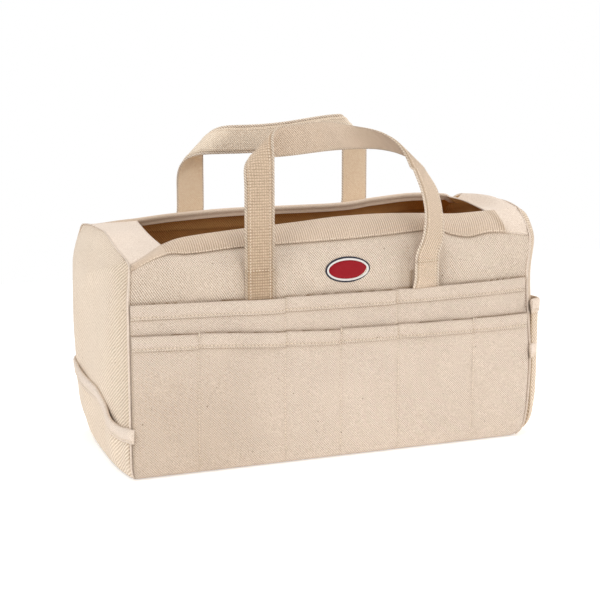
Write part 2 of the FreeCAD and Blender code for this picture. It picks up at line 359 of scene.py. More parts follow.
# Specks of husk: how far apart they lie and how wide the largest is, in millimetres.
FLECK_SPACING, FLECK_SIZE = 15.0, 1.7
HUSK = "#6E5238"
# The warm tint of the painted shade: the tone that light takes on when it has passed between folds of
# cotton.
PAINTED_SHADE_TINT = "#947000"


def cotton(name, weave, dark, light, depth_mm=0.6, flecks=0.0, sheen=0.15, blotches=0.16, gloss=0.25):
    """Undyed cotton. Its weave stands out in tone and in relief, clearer in some places than in others;
    threads and larger patches differ a little in colour, and specks of seed husk are left in where flecks is
    above 0. Painted shade from the piece's shade attribute darkens it towards a warm tint in seams and
    folds. Matt, with the soft edge glow of loose fibres."""
    finish = bpy.data.materials.new(name)
    finish.use_nodes = True
    tree = finish.node_tree
    shader = tree.nodes["Principled BSDF"]
    clear = math_node(tree, "MULTIPLY_ADD", cloudy(tree, 28), 1.6, 0.2)
    ridge = math_node(tree, "MULTIPLY", weave(tree), clear)
    threads = math_node(tree, "SUBTRACT", cloudy(tree, 1.6, 1.0), 0.5)
    patches = math_node(tree, "SUBTRACT", cloudy(tree, 55, 3.0), 0.5)
    tone = math_node(tree, "MULTIPLY_ADD", ridge, 0.5, 0.5)
    tone = math_node(tree, "MULTIPLY_ADD", threads, 0.8, tone)
    tone = math_node(tree, "MULTIPLY_ADD", patches, blotches, tone)
    colour = mixed(tree, tone, linear(dark), linear(light))
    if flecks:
        place = add(tree, "ShaderNodeTexCoord").outputs["Object"]
        cells = add(tree, "ShaderNodeTexVoronoi", {"Vector": place, "Scale": 1 / (FLECK_SPACING * MM)})
        near = math_node(tree, "LESS_THAN", cells.outputs["Distance"], FLECK_SIZE / FLECK_SPACING / 2)
        kind = add(tree, "ShaderNodeSeparateColor", {0: cells.outputs["Color"]}).outputs[0]
        speck = math_node(tree, "MULTIPLY", math_node(tree, "MULTIPLY", near, kind), flecks)
        colour = mixed(tree, speck, colour, linear(HUSK))
    # Painted shade: the piece's shade attribute darkens its colour towards a warm tint.
    shade = add(tree, "ShaderNodeAttribute", attribute_name="shade").outputs["Fac"]
    warm = mixed(tree, shade, linear(PAINTED_SHADE_TINT), (1, 1, 1, 1))
    colour = mixed(tree, 1.0, colour, warm, blend_type="MULTIPLY")
    tree.links.new(colour, shader.inputs["Base Color"])
    relief = math_node(tree, "MULTIPLY_ADD", threads, 1.2, ridge)
    bump = add(tree, "ShaderNodeBump", {"Height": relief, "Distance": depth_mm * MM / 2, "Strength": 0.9})
    tree.links.new(bump.outputs[0], shader.inputs["Normal"])
    shader.inputs["Roughness"].default_value = 0.95
    shader.inputs["Specular IOR Level"].default_value = gloss
    shader.inputs["Sheen Weight"].default_value = sheen
    shader.inputs["Sheen Roughness"].default_value = 0.6
    return finish


# The real twill's lines are about 1.2 mm apart, the webbing's ribs and checks about 1.5 mm. They are
# drawn about twice as coarse, so that they show.
def crossed(tree, wide, tall, lean):
    """Two sets of slanting ridges that cross, each repeating every wide millimetres along and tall
    upwards. With lean 0 they are alike and make dots; at 1 only the ridges that fall as the cloth runs
    along are left."""
    wobble = math_node(tree, "MULTIPLY", cloudy(tree, 8), 0.5)
    falling = math_node(tree, "MULTIPLY", waves(tree, wide, tall, wobble), 0.5 + 0.5 * lean)
    return math_node(tree, "MULTIPLY_ADD", waves(tree, -wide, tall, wobble), 0.5 - 0.5 * lean, falling)


def wall_weave(tree):
    """The walls' twill, falling to the right."""
    return crossed(tree, 2.9, 3.6, 0.3)


def pocket_weave(tree):
    """The pockets' twill, so close that its lines break up into dots."""
    return crossed(tree, 2.9, 2.8, 0.12)


def end_weave(tree):
    """The ends' twill, whose lines rise towards the front and stand out most beside the front seam."""
    place = add(tree, "ShaderNodeTexCoord").outputs["Object"]
    deep = add(tree, "ShaderNodeSeparateXYZ", {0: place}).outputs["Y"]
    crisp = add(tree, "ShaderNodeMapRange", {0: deep, 1: -0.10, 2: 0.0, 3: 1.0, 4: 0.3}).outputs[0]
    return math_node(tree, "MULTIPLY", crossed(tree, 6.4, 4.2, 0.6), crisp)


def plain_weave(tree):
    """Threads too fine to tell apart."""
    return math_node(tree, "MULTIPLY", crossed(tree, 2.4, 2.4, 0.0), 0.5)


def ribs(tree):
    """Ribs straight across the webbing's length."""
    return waves(tree, 2.8, 0, math_node(tree, "MULTIPLY", cloudy(tree, 6), 0.35))


def basket(tree):
    """Basket weave: bars across and fainter ribs along, with a knot at every crossing."""
    bars, along = waves(tree, 3.2, 0), waves(tree, 0, 2.9)
    knots = math_node(tree, "MULTIPLY", math_node(tree, "MULTIPLY", bars, along), 0.35)
    return math_node(tree, "MULTIPLY_ADD", bars, 0.5, math_node(tree, "MULTIPLY_ADD", along, 0.32, knots))


def strap_dots(tree):
    """The strap's back: twill that breaks up into dots."""
    return crossed(tree, 2.9, 2.9, 0.35)


def rope(tree):
    """The twisted edge cord of a strap: steep ridges along it."""
    return waves(tree, 3.4, 3.0)


# Unbleached cotton duck, woven and left undyed: matt and cream, with brown specks.
duck_canvas = cotton("natural_cotton_canvas", wall_weave, "#AC9680", "#F6E7D7", flecks=0.8)
pocket_canvas = cotton("natural_cotton_canvas_pocket", pocket_weave, "#B5A08B", "#F3E4D5", flecks=0.8)
end_canvas = cotton("natural_cotton_canvas_end", end_weave, "#C0A98F", "#FDEDDA", flecks=0.8)
cap_canvas = cotton("natural_cotton_canvas_cap", plain_weave, "#C2AC97", "#FFF1E3", flecks=0.6)
# The same canvas with the shade inside the bag painted into its colour: a darker warm brown, since light
# that has bounced inside a cream bag is a warm brown.
canvas_inside_painted_shade = cotton("cotton_canvas_inner_face_painted_shade", wall_weave, "#B4844F", "#E7BC82", sheen=0.0, gloss=0.05)
# Cotton webbing, woven in ribs, in checks or in twill, with corded edges: a little darker than the
# canvas.
band_webbing = cotton("ribbed_cotton_webbing", ribs, "#B9A18A", "#E7D4C0", flecks=0.4)
band_plain = cotton("plain_cotton_webbing", plain_weave, "#C0A992", "#EEDCC9", flecks=0.4)
strap_webbing = cotton("basket_cotton_webbing", basket, "#AA937A", "#EED6BC", depth_mm=0.8)
strap_smooth = cotton("fine_basket_cotton_webbing", strap_dots, "#AC947B", "#F1DCC5", depth_mm=0.5)
# Painted light: the rear strap's face, a lighter copy of the basket webbing standing in for light that
# reaches it less.
rear_strap_face_painted_light = cotton("basket_cotton_webbing_painted_light", strap_dots, "#CBB49B", "#FFF1DD", depth_mm=0.5)
strap_twill = cotton("twill_cotton_webbing", strap_dots, "#BBA28A", "#FFEEDB")
# Painted light: the rear strap's back, a plainer weave and a lighter copy of the twill webbing standing in
# for light that reaches it less.
rear_strap_back_painted_light = cotton("soft_twill_cotton_webbing_painted_light", plain_weave, "#DDBB97", "#FFEFD5")
strap_edge = cotton("corded_webbing_edge", rope, "#C2AA92", "#FFF1DF", depth_mm=1.0)
# Sewing thread, twisted: the palest of the cottons.
thread = cotton("cotton_thread", rope, "#E6D3BB", "#F8EBDA", depth_mm=0.2)


def embroidered(name, dark, light, pitch=1.0):
    """Polyester embroidery thread laid side by side: fine ridges with a soft shine along them."""
    finish = bpy.data.materials.new(name)
    finish.use_nodes = True
    tree = finish.node_tree
    shader = tree.nodes["Principled BSDF"]
    ridge = waves(tree, pitch, pitch * 2.5, math_node(tree, "MULTIPLY", cloudy(tree, 4), 0.4))
    tone = math_node(tree, "MULTIPLY_ADD", ridge, 0.3, 0.5)
    colour = mixed(tree, tone, linear(dark), linear(light))
    tree.links.new(colour, shader.inputs["Base Color"])
    bump = add(tree, "ShaderNodeBump", {"Height": ridge, "Distance": 0.15 * MM, "Strength": 0.6})
    tree.links.new(bump.outputs[0], shader.inputs["Normal"])
    shader.inputs["Roughness"].default_value = 0.6
    shader.inputs["Specular IOR Level"].default_value = 0.2
    shader.inputs["Sheen Weight"].default_value = 0.05
    return finish


# Rayon embroidery: dense satin stitches in dark grey, white and red.
badge_dark = embroidered("badge_dark_thread", "#1C1C26", "#3A3A48")
badge_pale = embroidered("badge_pale_thread", "#D8D4D0", "#F4F1EE")
badge_red = embroidered("badge_red_thread", "#7E0614", "#AA0A1E")

# ---------------------------------------------------------------- the bag's outline
# Half the length at each height, at the left and the right end: tucked in at the foot, drawn in at the
# top.
LEFT_FRONT_EDGE = rail((0, 250), (6, 252.5), (16, 253.7), (60, 254), (200, 254), (242, 250), (266, 246.5))
LEFT_REAR_EDGE = rail((0, 236), (20, 243), (85, 254.5), (150, 257), (215, 256), (250, 250), (266, 246.5))
RIGHT_EDGE = rail(
    (0, 233), (2.5, 238.5), (6, 243.5), (12, 248), (22, 251), (45, 254), (92, 256), (160, 251), (203, 248.5),
    (251, 254), (288, 252),
)


def left_edge(z, y):
    """Half the length at the left end, which is tucked in more at its rear corner."""
    rear = np.clip(y / HALF_DEPTH / 2 + 0.5, 0, 1)
    return LEFT_FRONT_EDGE(z) * (1 - rear) + LEFT_REAR_EDGE(z) * rear


# The seam below the band and the rim above it, along the bag: how far out and how high.
FRONT_SEAM_HIGH = rail(
    (-254, 234), (-224, 247), (-206, 250), (-184, 248), (-120, 252), (-35, 254), (58, 257), (132, 260.5),
    (153, 253.5), (177, 249.5), (207, 254.5), (254, 250),
)
FRONT_RIM_HIGH = rail(
    (-254, 241), (-209, 257), (-190, 262.5), (-165, 265.5), (-107, 270), (-45, 274), (18, 278.6),
    (65, 279.5), (123, 277.7), (170, 275.3), (207, 277), (254, 281.5),
)
FRONT_RIM_OUT = rail(
    (-254, 111), (-230, 97), (-209, 82.5), (-180, 81), (0, 80), (180, 81), (207, 82), (254, 86)
)
REAR_SEAM_HIGH = rail((-254, 244), (-200, 250), (0, 252), (134, 256), (200, 262), (254, 258))
REAR_RIM_HIGH = rail(
    (-254, 261), (-192, 267.5), (-143, 271.5), (-46, 275), (60, 275), (96, 276), (134, 280.5), (198, 286.5),
    (225, 286.5), (236, 281.0), (254, 279),
)
REAR_RIM_OUT = rail(
    (-254, 107), (-225, 92), (-192, 80), (-100, 81), (120, 80), (165, 72), (198, 60), (228, 47), (254, 58)
)
# The top edge of each end panel, from front to rear.
LEFT_TOP = rail(
    (-117.5, 222), (-114.5, 232), (-111, 241), (-50, 253), (15, 265.5), (60, 266), (100, 263), (107, 261),
    (113, 246), (117.5, 224),
)
RIGHT_TOP = rail(
    (-117.5, 222), (-113.5, 249), (-100, 268), (-86, 281.5), (-50, 287), (0, 288), (40, 286.5), (58, 285),
    (90, 274), (113, 258), (117.5, 224),
)
# Where the caps end and the mouth begins: front corner and rear corner.
MOUTH_LEFT = (-209, -192)
MOUTH_RIGHT = (213.5, 228)


def half_length(u, z, y):
    """Where the cloth lies along the bag: u -1 is the left end and 1 the right."""
    return np.where(u < 0, u * left_edge(z, y), u * RIGHT_EDGE(z))


def foot_out(z):
    """How far the walls stand from the middle: full depth above the rounded foot, a quarter circle less
    below."""
    below = np.clip(FOOT_ROUND - z, 0, FOOT_ROUND)
    return HALF_DEPTH - FOOT_ROUND + np.sqrt(FOOT_ROUND**2 - below**2)


def slack(x, z):
    """The loose cloth of the upright wall: shallow waves that die out at the foot and towards the
    lean."""
    ripples = 1.3 * np.sin(x / 49 + 0.6) * np.sin(z / 55 + 0.5) + 0.7 * np.sin(x / 21 + z / 37) - 0.4
    return ripples * ease(z / 40) * (1 - ease((z - 185) / 35)) * (1 - ease((np.abs(x) - 215) / 35))


# Folds in the cloth of the front wall: where each starts and ends, how wide it is and how far it stands
# out.
FRONT_FOLDS = [
    ((-74, 240), (-46, 204), 8, -2.6), ((-58, 238), (-28, 206), 9, 2.0), ((-205, 240), (-150, 205), 16, 1.8),
    ((-228, 236), (-196, 202), 12, -1.6), ((136, 240), (133, 202), 7, -3.0),
    ((152, 238), (168, 204), 10, 2.2),
    ((86, 244), (84, 200), 7, -2.4), ((60, 236), (30, 204), 12, 1.6),
]


def folds(x, z, side):
    """How far the folds of the front wall stand out: each a smooth hill across the distance from its own
    line."""
    total = 0 * x
    for (x0, z0), (x1, z1), wide, height in FRONT_FOLDS if side < 0 else []:
        long = math.hypot(x1 - x0, z1 - z0)
        along = ((x - x0) * (x1 - x0) + (z - z0) * (z1 - z0)) / long
        off = ((x - x0) * (z1 - z0) - (z - z0) * (x1 - x0)) / long
        ends = ease(along / 12 + 0.4) * ease((long + 14 - along) / 14)
        total = total + height * np.exp(-((off / wide) ** 2)) * ends
    return total * ease((z - 190) / 14)


def seam_out(x):
    """How far out the seam under the band is: pushed in where the straps hang, full near the ends."""
    swell = 14 * ease((np.abs(x) - 180) / 60)
    return 99 + swell + 4 * hill(x, 8, 40)


def wall(u, t, side):
    """The front (side -1) or rear (1) wall. u runs from -1 to 1 along the bag. t runs 0 to 1 round the
    foot, a quarter circle; 1 to 2 straight up; 2 to 3 leaning in to the seam, a quadratic curve; 3 to 4
    on to the rim."""
    x = u * HALF_LENGTH
    seam_z = np.where(side < 0, FRONT_SEAM_HIGH(x), REAR_SEAM_HIGH(x))
    rim_z = np.where(side < 0, FRONT_RIM_HIGH(x), REAR_RIM_HIGH(x))
    rim_y = np.where(side < 0, FRONT_RIM_OUT(x), REAR_RIM_OUT(x))
    seam_y = seam_out(x)
    lean_z = np.minimum(214 + 12 * ease((np.abs(x) - 190) / 50) + 8 * hill(x, 8, 40), seam_z - 10)
    angle = np.clip(t, 0, 1) * math.pi / 2
    z = FOOT_ROUND * (1 - np.cos(angle))
    out = HALF_DEPTH - FOOT_ROUND * (1 - np.sin(angle))
    up = np.clip(t - 1, 0, 1)
    z = z + (lean_z - FOOT_ROUND) * up
    k = np.clip(t - 2, 0, 1)
    bend_z = lean_z + 0.55 * (seam_z - lean_z)
    out = out + k * k * (seam_y - HALF_DEPTH)
    z = z + 2 * k * (1 - k) * (bend_z - lean_z) + k * k * (seam_z - lean_z)
    m = np.clip(t - 3, 0, 1)
    arch = 3.0 * np.sin(math.pi * m)
    out = out + m * (rim_y - seam_y) + arch * 0.7
    z = z + m * (rim_z - seam_z) + arch * 0.7
    out = out + slack(x, z) + folds(x, z, side)
    return stack(half_length(u, z, side * HALF_DEPTH), side * out, z)


def grid(surface, a, b):
    """A surface over every pair of a, along the rows, and b, up the columns."""
    a, b = np.meshgrid(a, b)
    return surface(a, b)


def spaced(*stretches):
    """Steps through stretches of (start, end, count), each end counted once."""
    parts = [np.linspace(s, e, n, endpoint=False) for s, e, n in stretches]
    return np.concatenate(parts + [[stretches[-1][1]]])


WALL_STEPS = spaced((0, 1, 6), (1, 1.72, 20), (1.72, 2, 26), (2, 2.9, 22), (2.9, 3, 5), (3, 4, 12))


def end_panel(b, t, side):
    """The left (side -1) or right (1) end. b runs from -1 at the front to 1 at the rear, t from the foot
    to the panel's top edge. It swells outwards between its seams."""
    y = b * HALF_DEPTH
    top = np.where(side < 0, LEFT_TOP(y), RIGHT_TOP(y))
    z = t * top
    edge = np.where(side < 0, left_edge(z, y), RIGHT_EDGE(z))
    inset = (1 - np.abs(b)) * HALF_DEPTH
    rear_inset = np.where(b > 0, inset / 10, inset / 34)
    left_swell = 7.0 * (1 - np.exp(-rear_inset)) * ease((z - 10) / 45) * ease((top - z) / 22)
    fold = z - 242 + (y + 103) * 32 / 148
    left_swell = left_swell + 4.5 * np.exp(-np.abs(fold) / 14) * ease(inset / 30) * ease((60 - y) / 50)
    ripples = 1.6 * np.sin(y / 26 + z / 40) * ease(inset / 30)
    left_swell = left_swell + ripples * ease((z - 60) / 50) * ease((top - z) / 40)
    right_swell = 15.0 * (1 - np.exp(-inset / 7)) * ease(t / 0.08) * (1 - np.exp(-(top - z) / 5))
    ripples = 1.5 * np.sin(y / 22 - z / 33) * ease(inset / 20)
    right_swell = right_swell + ripples * ease(t / 0.15) * ease((1 - t) / 0.2)
    x = edge + np.where(side < 0, left_swell, right_swell)
    return stack(side * x, y * foot_out(z) / HALF_DEPTH, z)


def coons(front, rear, outer, inner, a, b):
    """A patch through four edges: the two pairs of opposite edges blended straight across, less the
    corners' straight blend. a runs from the outer to the inner edge, b from the front to the rear."""
    a_, b_ = a[..., None], b[..., None]
    one, nil = np.ones_like(a), np.zeros_like(a)
    outer_corners = (1 - b_) * outer(nil) + b_ * outer(one)
    inner_corners = (1 - b_) * inner(nil) + b_ * inner(one)
    corners = (1 - a_) * outer_corners + a_ * inner_corners
    return (1 - a_) * outer(b) + a_ * inner(b) + (1 - b_) * front(a) + b_ * rear(a) - corners


def cap(a, b, side):
    """The cap that closes the top between an end panel and the mouth. It sags a little between its
    seams."""
    corner_f, corner_r = MOUTH_LEFT if side < 0 else MOUTH_RIGHT

    def front(a):
        return wall((side * HALF_LENGTH * (1 - a) + corner_f * a) / HALF_LENGTH, 4.0, -1)

    def rear(a):
        return wall((side * HALF_LENGTH * (1 - a) + corner_r * a) / HALF_LENGTH, 4.0, 1)

    start, end = front(np.zeros(1))[0], rear(np.zeros(1))[0]
    mouth_start, mouth_end = front(np.ones(1))[0], rear(np.ones(1))[0]

    def outer(b):
        top = LEFT_TOP if side < 0 else RIGHT_TOP
        y = start[1] + (end[1] - start[1]) * b
        z = top(y) + (start[2] - top(start[1])) * (1 - b) + (end[2] - top(end[1])) * b
        return stack(side * (left_edge(z, y) if side < 0 else RIGHT_EDGE(z)), y, z)

    def inner(b):
        line = mouth_start + (mouth_end - mouth_start) * b[..., None]
        sag = np.sin(math.pi * b) * (2.0 if side < 0 else -4.0)
        return line - stack(0 * b, 0 * b, sag)

    patch = coons(front, rear, outer, inner, a, b)
    if side > 0:
        rise = 6.5 * np.exp(-(((a - 0.22) / 0.24) ** 2)) - 4.5 * np.exp(-(((a - 0.72) / 0.22) ** 2))
        patch[..., 2] += rise * ease(b / 0.4) * ease((1 - b) / 0.12)
    return patch


def wall_painted_shade(points, across, side):
    """Painted shadow on a wall above the pockets' mouth, beside the straps and the left corner seam, and
    under the band, and painted shade that darkens the wall a little towards its left end."""
    x, z = points[..., 0], points[..., 2]
    shade = shadow(z - mouth_height(x, UPPER_LINE, UPPER_DIVIDERS), 0.85, 0.9)
    for middle in LEGS[side]:
        beside = np.abs(x - middle) - STRAP_WIDE / 2 + 1
        near = shadow(beside, 0.4, 1.5) * shadow(beside, 0.24, 8)
        shade = shade * near ** ease((HINGE_HEIGHT + 30 - z) / 40)
    shade = shade * shadow((1 + across)[None] * HALF_LENGTH, 0.35, 1.4) * (1 - 0.03 * ease((-x - 60) / 100))
    return shade * np.where(WALL_STEPS[:, None] <= 3, shadow((3 - WALL_STEPS[:, None]) * 30, 0.4, 0.8), 1)


def walls_and_caps():
    """Front and rear walls, ends, caps and base."""
    across = spaced((-1, -0.7, 24), (-0.7, 0.4, 70), (0.4, 1, 54))
    for side, name in ((-1, "front"), (1, "rear")):
        points = grid(lambda u, t: wall(u, t, side), across, WALL_STEPS)
        shade = wall_painted_shade(points, across, side)
        piece = cloth(f"{name}_wall", points, duck_canvas, inside_painted_shade=canvas_inside_painted_shade, shade=shade)
        belongs(piece, "canvas", f"{name}_panel")
    deep = spaced((-1, -0.94, 10), (-0.94, 0.94, 60), (0.94, 1, 10))
    for side, name in ((-1, "left"), (1, "right")):
        up = spaced((0, 0.08, 8), (0.08, 0.9, 44), (0.9, 1, 12))
        points = grid(lambda b, t: end_panel(b, t, side), deep, up)
        # Painted shade: each end darker towards its front seam.
        shade = (1 - 0.22 * np.exp(-(1 + deep) * HALF_DEPTH / 40))[None]
        piece = cloth(f"{name}_end", points, end_canvas, inside_painted_shade=canvas_inside_painted_shade, shade=shade)
        belongs(piece, "canvas", f"{name}_end_panel")
        points = grid(lambda a, b: cap(a, b, side), spaced((0, 1, 16)), spaced((0, 1, 40)))
        top = cloth(f"{name}_cap", points, cap_canvas, inside_painted_shade=canvas_inside_painted_shade)
        belongs(top, "canvas", f"{name}_top_cap")

    def base(u, w):
        x = half_length(u, 0 * u, w * HALF_DEPTH)
        return stack(x, w * (HALF_DEPTH - FOOT_ROUND), 0.2 + 0.5 * np.cos(u * 5) * np.cos(w * 3) ** 2)

    points = grid(base, spaced((-1, 1, 40)), spaced((-1, 1, 20)))
    bottom = cloth("base", points, duck_canvas, BASE_THICK, canvas_inside_painted_shade)
    belongs(bottom, "canvas", "base_panel")


# ---------------------------------------------------------------- the band round the mouth
BAND_THICK = 1.6


def band(u, t, side):
    """The webbing band on the outside of the wall from the seam up, standing off it by its own thickness,
    and over the rim. t runs from 0 at its lower edge to 1 at the rim, then to 2 down the inside."""
    at = 3 + np.clip(t, 0, 1)
    place = wall(u, at, side)
    n = normals(lambda a, b: wall(a, b, side), u, np.minimum(at, 3.96))
    rim = np.clip(t - 1, 0, 1)[..., None]
    turn = np.pi * np.clip(rim * 2, 0, 1)
    up = unit(wall(u, 4 + 0 * u, side) - wall(u, 3.7 + 0 * u, side))
    thick = BAND_THICK * (1 - 0.75 * ease((np.abs(u) - 0.8) / 0.15))[..., None]
    thick = thick * np.where(side > 0, 1 + 0.5 * np.clip(t, 0, 1) ** 2, 1)[..., None]
    across = thick + CANVAS_THICK / 2
    lift = n * (across * np.cos(turn) - CANVAS_THICK / 2) + up * across * np.sin(turn)
    down = -(up * np.where(side > 0, 2.6, 5.0) + n * np.where(side > 0, 3.4, 0)) * np.clip(rim * 2 - 1, 0, 1)
    return place + np.where(rim > 0, lift + down, n * thick)


def bands():
    """The front and rear bands."""
    for side, name in ((-1, "front"), (1, "rear")):
        across, up = spaced((-0.995, 0.995, 170)), spaced((-0.0, 1, 14), (1, 2, 12))
        points = grid(lambda u, t: band(u, t, side), across, up)
        x = across * HALF_LENGTH
        # Painted shade: a dark crease line on the front band near its right end, and both bands darker
        # towards their left end.
        crease = x[None] - 214 - 9 * (1 - np.clip(up, 0, 1))[:, None]
        shade = 1 - 0.22 * np.exp(-((crease / 4) ** 2)) * (side < 0)
        shade = shade * (1 - 0.14 * ease((-x - 90) / 60))[None]
        plain = ((x < -212) | (x > 222)).astype(int)[:-1] + (x > 222).astype(int)[:-1]
        plain = np.tile(plain, (len(up) - 1, 1))
        if side > 0:
            plain[13:] = np.maximum(plain[13:], 1)
        finishes = [band_webbing, band_plain, cap_canvas]
        flat = laid_flat(points)
        piece = mesh_piece(f"{name}_band", points, flat, finish=finishes, bands=plain, shade=shade)
        solid = piece.modifiers.new("thickness", "SOLIDIFY")
        solid.thickness = 1.2 * MM
        solid.offset = -1
        belongs(piece, "webbing", f"{name}_rim_band")


# ---------------------------------------------------------------- pockets on the front and the rear
UPPER_LINE = rail(
    (-254, UPPER_MOUTH), (-160, UPPER_MOUTH - 1.8), (-74, UPPER_MOUTH - 3), (72, UPPER_MOUTH - 3),
    (155, UPPER_MOUTH - 1.4), (250, UPPER_MOUTH + 1.4),
)
LOWER_LINE = rail(
    (-254, LOWER_MOUTH + 7.5), (-180, LOWER_MOUTH + 5.5), (-74, LOWER_MOUTH), (0, LOWER_MOUTH - 2.6),
    (72, LOWER_MOUTH - 2.2), (173, LOWER_MOUTH - 2.6), (250, LOWER_MOUTH - 0.9),
)
UPPER_DIVIDERS = (-71.0, 72.0)
LOWER_DIVIDERS = (-176.0, -71.0, -2.0, 72.0, 174.0)
STRIP_ENDS = (-0.997, 0.983)
STEP_UP = 1.3
MARK_HALF = 0.003


def mouth_height(x, line, dividers):
    """The height of a strip's mouth: a smooth line with a small step up at each divider."""
    steps = sum(np.clip((x - d) / 0.8, -0.5, 0.5) * np.exp(-np.abs(x - d) / 26) for d in dividers)
    return line(x) + STEP_UP * steps


def between(x, dividers):
    """0 at each divider and at both ends, 1 half way between."""
    marks = np.array([-HALF_LENGTH, *dividers, HALF_LENGTH])
    i = np.clip(np.searchsorted(marks, x) - 1, 0, len(marks) - 2)
    return np.sin(math.pi * np.clip((x - marks[i]) / (marks[i + 1] - marks[i]), 0, 1)) ** 0.7


def over_legs(x, side):
    """1 over the feet of the straps, which the upper strip covers."""
    return sum(np.exp(-(((x - m) / (STRAP_WIDE / 2 + 5)) ** 6)) for m in LEGS[side])


def upper_stand(x, z, side):
    """How far the upper strip's outer face stands off the wall."""
    flat = 3.0
    feet = (STRAP_LIFT + STRAP_THICK + STRIP_THICK + 0.3 - flat) * over_legs(x, side) * ease((z - 135) / 25)
    return flat + feet + 1.6 * between(x, UPPER_DIVIDERS) * ease((z - 150) / 40)


def lower_stand(x, z, side):
    """How far the lower strip's outer face stands off the wall."""
    return upper_stand(x, z, side) + 2.2 + 1.6 * between(x, LOWER_DIVIDERS) * ease((z - 100) / 50)


def strip_face(u, z, side, stand):
    """A strip's outer face at a height: the wall's own place and the stand-off, which dies out under the
    foot."""
    x = u * HALF_LENGTH
    off = stand(x, z, side) * ease((z + 2) / 12)
    return stack(half_length(u, z, side * HALF_DEPTH), side * (foot_out(z) + slack(x, z) + off), z)


def along_strip(dividers, count):
    """Steps along a strip, with three close ones at each divider."""
    marks = [d / HALF_LENGTH for d in dividers]
    close = [np.array([m - MARK_HALF, m, m + MARK_HALF]) for m in marks]
    return np.unique(np.concatenate([spaced((*STRIP_ENDS, count))] + close))


def strip(name, side, stand, line, dividers):
    """One strip of pockets and its node."""
    u = along_strip(dividers, 150)
    top = mouth_height(u * HALF_LENGTH, line, dividers)
    foot = FOOT_ROUND * (1 - np.cos(np.linspace(0.35, math.pi / 2, 7)))[:-1, None]
    share = spaced((0, 0.68, 26), (0.68, 1, 44))[:, None]
    z = np.concatenate([np.broadcast_to(foot, (6, len(u))), FOOT_ROUND + share * (top[None] - FOOT_ROUND)])
    points = strip_face(np.broadcast_to(u, z.shape), z, side, stand)
    x = points[..., 0]
    below_hem = top[None] - HEM_TALL - z
    # Painted shade: darker just below the hem and at the left end, under the lower strip's mouth, towards
    # the lower left of the front, and in a thin line at each divider.
    shade = shadow(below_hem, 0.5, 0.8) * shadow(x + HALF_LENGTH, 0.4, 1.4)
    if stand is upper_stand:
        shade = shade * shadow(z - mouth_height(x, LOWER_LINE, LOWER_DIVIDERS), 0.85, 0.7)
    shade = shade * (1 - 0.16 * ease((-x - 20) / 160) * ease((190 - z) / 130) * (side < 0))
    for d in dividers:
        shade = shade * (1 - 0.2 * np.exp(-np.abs(x - d) / 0.7))
    piece = cloth(name, points, pocket_canvas, STRIP_THICK, shade=shade)
    belongs(piece, "canvas", f"{name[:-1]}_strip")


# The hem: the strip's edge folded outwards. Outwards and up from the mouth's line, on the strip's outer
# face.
HEM = [
    (-0.3, -HEM_TALL + 0.5), (0.6, -HEM_TALL), (1.5, -HEM_TALL + 0.2), (1.8, -HEM_TALL + 1.2),
    (1.6, -HEM_TALL + 1.9), (1.0, -HEM_TALL + 2.8), (1.5, -HEM_TALL + 3.9), (2.1, -HEM_TALL + 7.5),
    (2.2, -4.5), (2.1, -1.8), (1.5, -0.5), (0.4, 0.1), (-0.9, 0.0), (-1.8, -0.7), (-2.2, -2.0), (-2.1, -5.0),
    (-1.2, -6.0),
]
# Painted shade at each point of the hem's section: dark under its lower edge, in the groove of its stitching
# and on its inner side, which folds in against the strip.
HEM_SHADE = np.array([0.45, 0.5, 0.85, 1, 0.94, 0.68, 0.94, 1, 1, 1, 1, 1, 0.88, 0.75, 0.65, 0.6, 0.6])
HEM_STITCH = (1.15, -HEM_TALL + 2.8)


def hem(name, node, side, stand, line, dividers):
    """The folded hem along a strip's mouth."""
    marks = [d / HALF_LENGTH for d in dividers]
    u = along_strip(dividers, 170)
    top = mouth_height(u * HALF_LENGTH, line, dividers)
    path = strip_face(u, top, side, stand)
    out = np.tile([0.0, side, 0.0], (len(u), 1))
    up = np.tile([0.0, 0.0, 1.0], (len(u), 1))
    pinch = 1 - 0.25 * sum(hill(u, m, 0.006) for m in marks)
    # Painted shade: the section's shade, with a dark line at each divider.
    divider_shade = 1 - 0.3 * sum(np.exp(-np.abs(u - m) / MARK_HALF) for m in marks)
    shade = divider_shade[:, None] * HEM_SHADE[None]
    piece = swept(name, path, out * pinch[:, None], up, HEM, pocket_canvas, shade=shade)
    belongs(piece, "canvas", node)


